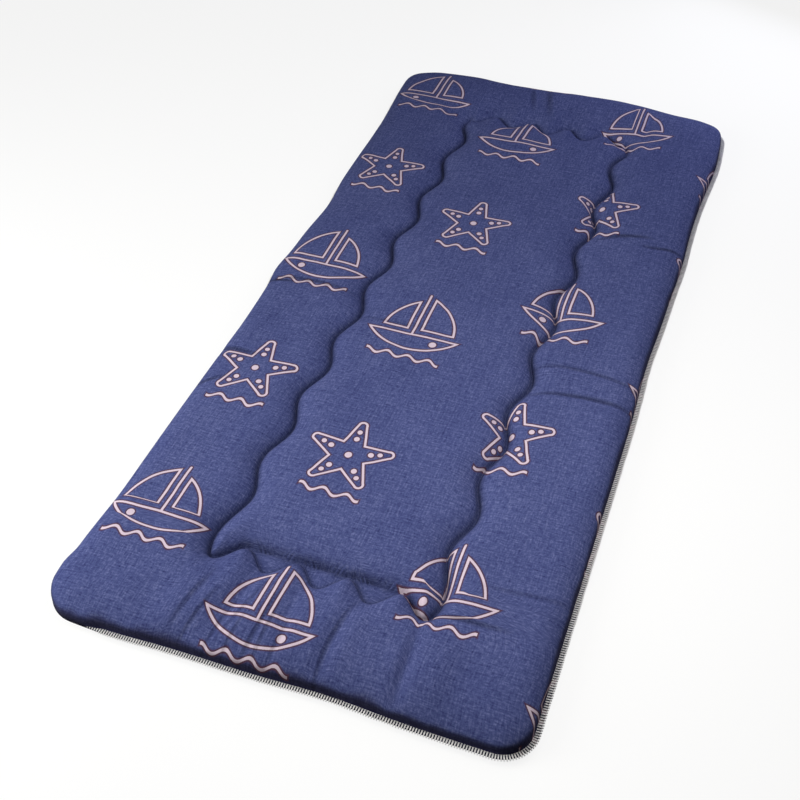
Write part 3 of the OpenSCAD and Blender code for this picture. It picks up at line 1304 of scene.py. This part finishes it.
@dataclass
class Batt:
    """One batt: a closed pad that lies just inside the covers."""

    quilt: Quilt
    layer: Layer
    rim: float = 0.015
    gap: float = 0.0006
    thinnest: float = 0.0002

    def faces(self, relief: Relief) -> Line:
        """Measures the batt.

        Args:
            relief: The measured grid.

        Returns:
            The heights of its lower and upper face.
        """
        q, gap, level = self.quilt, self.gap, np.zeros_like(relief.x)
        if self.layer is Layer.TOP:
            low = level + q.core_high + gap / 2
            return low, np.maximum(lowest(relief.top()) - q.cloth - 3 * gap, low + self.thinnest)
        if self.layer is Layer.BASE:
            high = level + q.core_low - gap / 2
            return np.minimum(-lowest(-relief.base()) + q.cloth + 3 * gap, high - self.thinnest), high
        return level + q.core_low, level + q.core_high

    def build(self) -> bpy.types.Object:
        """Makes the batt.

        Returns:
            The pad as an object.
        """
        q, name = self.quilt, self.layer.value[0]
        seams = [(s * q.seam_x, 0.006, 0.005) for s in (-1, 1)]
        ends = [(q.foot_y + 0.01, 0.025, 0.006), (q.head_y - 0.01, 0.025, 0.006)]
        us = spaced(-q.half_w + self.rim, q.half_w - self.rim, seams, 0.018)
        vs = spaced(-q.half_l + self.rim, q.half_l - self.rim, ends, 0.018)
        relief, work = Relief(q, *np.meshgrid(us, vs)), bmesh.new()
        for height, turned in zip(self.faces(relief), (True, False)):
            sheet, _ = gridded("face", np.stack([relief.x, relief.y, height], -1))
            if turned:
                sheet.flip_normals()
            work.from_mesh(sheet)
            bpy.data.meshes.remove(sheet)
        bmesh.ops.bridge_loops(work, edges=[edge for edge in work.edges if edge.is_boundary])
        bmesh.ops.recalc_face_normals(work, faces=work.faces)
        return shown(name, meshed(name, work))

    def dress(self, piece: bpy.types.Object) -> None:
        """Args:
            piece: The pad.
        """
        _, node, slot, fill = self.layer.value
        finish = FIRM_WADDING if self.layer is Layer.CORE else SOFT_WADDING
        seated(piece, node, finish.material())


def travelled(x: Array, y: Array) -> Array:
    """Returns how far each point of a line lies along it."""
    return np.concatenate([[0.0], np.cumsum(np.hypot(np.diff(x), np.diff(y)))])


def repeated(marks: Sequence[float], count: int, length: float) -> Array:
    """Returns where the marks of a stitch fall when it is repeated a number of times over a length."""
    return (np.arange(count)[:, None] + np.array(marks)[None, :]).ravel() / count * length


def thread(name: str, points: Array, radius: float, closed: bool, sides: int = 1) -> bpy.types.Object:
    """Winds a round thread along points.

    Args:
        name: Name of the piece.
        points: The thread's centre line, one point a row.
        radius: Half its thickness.
        closed: Whether its ends meet.
        sides: Roundness of its section.

    Returns:
        The thread as a mesh object.
    """
    curve = bpy.data.curves.new(name, "CURVE")
    curve.dimensions, curve.bevel_depth, curve.bevel_resolution = "3D", radius, sides
    curve.use_fill_caps = True
    run = curve.splines.new("POLY")
    run.points.add(len(points) - 1)
    run.points.foreach_set("co", np.column_stack([points, np.ones(len(points))]).astype(np.float32).ravel())
    run.use_cyclic_u = closed
    holder = bpy.data.objects.new(name + "_line", curve)
    bpy.context.scene.collection.objects.link(holder)
    mesh = bpy.data.meshes.new_from_object(holder.evaluated_get(bpy.context.evaluated_depsgraph_get()))
    bpy.data.objects.remove(holder)
    bpy.data.curves.remove(curve)
    mesh.name = name
    return shown(name, mesh)


@dataclass
class QuiltingThread:
    """One thread of a quilting seam, which shows as a row of stitches."""

    quilt: Quilt
    seam: str
    upper: bool
    stitch: float = 0.004
    radius: float = 0.00045

    def kind(self) -> str:
        """Returns which of the seam's two threads this is."""
        return "needle" if self.upper else "bobbin"

    def build(self) -> bpy.types.Object:
        """Makes the row of stitches.

        Returns:
            The thread as an object.
        """
        q = self.quilt
        x, y = q.seam_line(self.seam, 0.001)
        run = travelled(x, y)
        count = round(run[-1] / self.stitch)
        place = repeated((0.0, 0.10, 0.35, 0.65, 0.90), count, run[-1])
        lift = np.tile([-0.9, 0.25, 0.75, 0.75, 0.25], count) * self.radius
        level = q.top_channel + lift if self.upper else q.base_channel - lift
        points = np.column_stack([np.interp(place, run, x), np.interp(place, run, y), level])
        return thread(f"{self.seam}_{self.kind()}_stitches", points, self.radius, False)

    def dress(self, piece: bpy.types.Object) -> None:
        """Finishes the thread."""
        seated(piece, f"{self.seam}_quilting_{self.kind()}_thread", NAVY_YARN.material())


class Strand(Enum):
    """The three threads of the overlocked edge: name, node and roundness."""

    NEEDLE = ("edge_needle_stitches", "overlock_needle_thread", 1)
    UPPER = ("upper_edge_loops", "overlock_upper_looper_thread", 1)
    LOWER = ("lower_edge_loops", "overlock_lower_looper_thread", 0)


@dataclass
class Overlock:
    """One thread of the overlocking that binds the two covers together all round."""

    quilt: Quilt
    strand: Strand
    pitch: float = 0.0048
    radius: float = 0.00080
    bite: float = -0.0078
    brink: float = -0.0010
    reach: float = 0.0022
    tucked: float = 0.004
    uneven: float = 0.0004
    wander_run: float = 0.009

    def outline(self) -> tuple[Array, Array, Array, Array]:
        """Follows the fabric's edge once round.

        Returns:
            The distance along it, its points, the directions that point straight out of it, and how far it is
            rolled under.
        """
        q = self.quilt
        across, along = np.linspace(-q.half_w, q.half_w, 1800), np.linspace(-q.half_l, q.half_l, 4000)
        left, right = np.full_like(along, -q.half_w), np.full_like(along, q.half_w)
        foot, head = np.full_like(across, -q.half_l), np.full_like(across, q.half_l)
        u = np.concatenate([across, right, across[::-1], left])
        v = np.concatenate([foot, along, head, along[::-1]])
        x, y = q.plan(u, v)
        keep = np.hypot(x - np.roll(x, 1), y - np.roll(y, 1)) > 1e-5
        x, y, under = (np.append(line[keep], line[keep][0]) for line in (x, y, q.tuck(u, v)))
        run = travelled(x, y)
        even = np.linspace(0, run[-1], 6000)
        x, y, under = (np.interp(even, run, line) for line in (x, y, under))
        tx, ty = np.gradient(x), np.gradient(y)
        size = np.hypot(tx, ty)
        return even, np.column_stack([x, y]), np.column_stack([ty / size, -tx / size]), under

    def stitch(self) -> list[Triple]:
        """Draws one stitch.

        Returns:
            Its points: how far along the stitch, how far out of the edge, and how high.
        """
        q = self.quilt
        top, under = q.join + q.cloth, q.join - q.cloth
        if self.strand is Strand.NEEDLE:
            sunk = ((0.0, 0.0008), (0.3, 0.0002), (0.7, 0.0002))
            return [(mark, self.bite, top - depth) for mark, depth in sunk]
        face, lift = (top, self.radius) if self.strand is Strand.UPPER else (under, -self.radius)
        return [
            (0.00, self.bite, face - 1.2 * lift),
            (0.34, self.bite, face + 0.3 * lift),
            (0.38, self.brink, face + 1.2 * lift),
            (0.41, self.reach, q.join + 0.8 * lift),
            (0.49, self.reach, q.join + 0.8 * lift),
            (0.56, self.brink, face + 1.2 * lift),
            (0.60, self.bite, face + 0.3 * lift),
        ]

    def build(self) -> bpy.types.Object:
        """Makes the thread.

        Returns:
            The thread as an object.
        """
        name, _, sides = self.strand.value
        run, line, out, rolled = self.outline()
        count = round(run[-1] / self.pitch)
        marks, stands, heights = zip(*self.stitch())
        place = repeated(marks, count, run[-1])
        away = np.tile(stands, count) - self.tucked * np.interp(place, run, rolled)
        wander = Drift(11, self.wander_run).at(place, np.zeros_like(place), 1)
        centre = np.column_stack([np.interp(place, run, part) for part in line.T])
        facing = np.column_stack([np.interp(place, run, part) for part in out.T])
        spots = centre + facing * (away + self.uneven * wander)[:, None]
        return thread(name, np.column_stack([spots, np.tile(heights, count)]), self.radius, True, sides)

    def dress(self, piece: bpy.types.Object) -> None:
        """Finishes the thread."""
        seated(piece, self.strand.value[1], WHITE_YARN.material())


# ---- Studio ------------------------------------------------------------------------------------------------


@dataclass(frozen=True)
class Lamp:
    """A soft square lamp: its place, the length of its side, its power in watts and its colour."""

    name: str
    place: Triple
    size: float
    power: float
    colour: Triple
    target: Triple = (0.0, -0.3, 0.05)

    def build(self) -> None:
        """Hangs the lamp, out of the camera's sight."""
        light = bpy.data.lights.new(self.name, "AREA")
        light.shape, light.size, light.energy, light.color = "SQUARE", self.size, self.power, self.colour
        holder = bpy.data.objects.new(self.name, light)
        holder.location, holder.visible_camera = self.place, False
        holder.rotation_euler = (Vector(self.target) - Vector(self.place)).to_track_quat("-Z", "Y").to_euler()
        bpy.context.scene.collection.objects.link(holder)


LAMPS = (
    Lamp("left", (-1.59, -1.21, 1.05), 1.38, 48.5, (1.0, 1.0, 0.955)),
    Lamp("over", (0.32, -0.46, 0.84), 1.08, 7.6, (1.0, 0.975, 0.905)),
    Lamp("head", (0.71, 1.32, 0.78), 1.40, 12.4, (0.80, 0.82, 1.0)),
)


@dataclass
class Studio:
    """A plain pale floor, soft lamps and the camera."""

    eye: Triple = (0.58093, -1.84356, 1.67591)
    aim: Triple = (-0.25874, 0.65817, -0.70701)
    head: Triple = (-0.23275, 0.66790, 0.70693)
    lens: float = 50.57
    floor_half: float = 20.0
    fade: Point = (1.7, 5.5)
    floor_shade: float = 0.14
    sky: Triple = (0.90, 0.95, 1.0)
    sky_light: float = 0.03

    def build(self) -> None:
        """Sets up floor, backdrop, lamps and camera."""
        self.floor()
        self.backdrop()
        for lamp in LAMPS:
            lamp.build()
        self.camera()

    def floor(self) -> None:
        """Lays the floor, which keeps the mattress's shadow and fades to white far from it."""
        sides = (-self.floor_half, self.floor_half)
        mesh, _ = gridded("floor", np.array([[(x, y, 0.0) for x in sides] for y in sides]))
        bench = Bench("pale_floor")
        seen = Wire(bench, bench.node("ShaderNodeLightPath").outputs["Is Camera Ray"])
        pale = bench.mixed(seen, (0.20, 0.20, 0.20), (0.95, 0.95, 0.95))
        matt = bench.node("ShaderNodeBsdfDiffuse", None, {"Color": pale})
        glow = bench.node("ShaderNodeEmission", None, {"Color": WHITE, "Strength": 1.0})
        x, y, _ = bench.parts(bench.coordinate())
        white = seen * (1 - x.hypot(y).step(*self.fade) * self.floor_shade)
        mesh.materials.append(bench.close(bench.either(white, matt, glow)))
        shown("floor", mesh, smooth=False)

    def backdrop(self) -> None:
        """Makes the surroundings: white to the camera, an even soft light to the mattress."""
        bench = Bench("studio", world=True)
        bpy.context.scene.world = bench.holder
        path = bench.node("ShaderNodeLightPath").outputs
        seen = Wire(bench, path["Is Camera Ray"]).high(Wire(bench, path["Is Glossy Ray"]))
        soft = bench.node("ShaderNodeBackground", None, {"Color": self.sky, "Strength": self.sky_light})
        white = bench.node("ShaderNodeBackground", None, {"Color": WHITE, "Strength": 1.0})
        bench.close(bench.either(seen, soft, white), "ShaderNodeOutputWorld")

    def camera(self) -> None:
        """Stands the camera at the foot, looking down along the mattress."""
        data = bpy.data.cameras.new("camera")
        data.lens, data.sensor_width = self.lens, 36.0
        data.clip_start, data.clip_end = 0.05, 100.0
        back = -Vector(self.aim).normalized()
        right = Vector(self.head).normalized().cross(back).normalized()
        turn = Matrix((right, back.cross(right), back)).transposed()
        holder = bpy.data.objects.new("camera", data)
        holder.matrix_world = Matrix.Translation(self.eye) @ turn.to_4x4()
        bpy.context.scene.collection.objects.link(holder)
        bpy.context.scene.camera = holder


def main() -> None:
    """Builds the mattress piece by piece and sets it in the studio."""
    logging.basicConfig(level=logging.INFO, format="%(message)s")
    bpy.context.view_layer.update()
    quilt = Quilt.from_frame()
    log.info("plan: %s", quilt)
    makers: list[Cover | Batt | QuiltingThread | Overlock] = [Batt(quilt, layer) for layer in Layer]
    makers += [Cover(quilt, side) for side in Side]
    for seam in ("left", "right", "head", "foot"):
        makers += [QuiltingThread(quilt, seam, upper) for upper in (True, False)]
    makers += [Overlock(quilt, strand) for strand in Strand]
    for maker in makers:
        maker.dress(maker.build())
    Studio().build()
    bpy.context.scene.view_settings.view_transform = "Standard"
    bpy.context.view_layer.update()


if __name__ == "__main__":
    main()
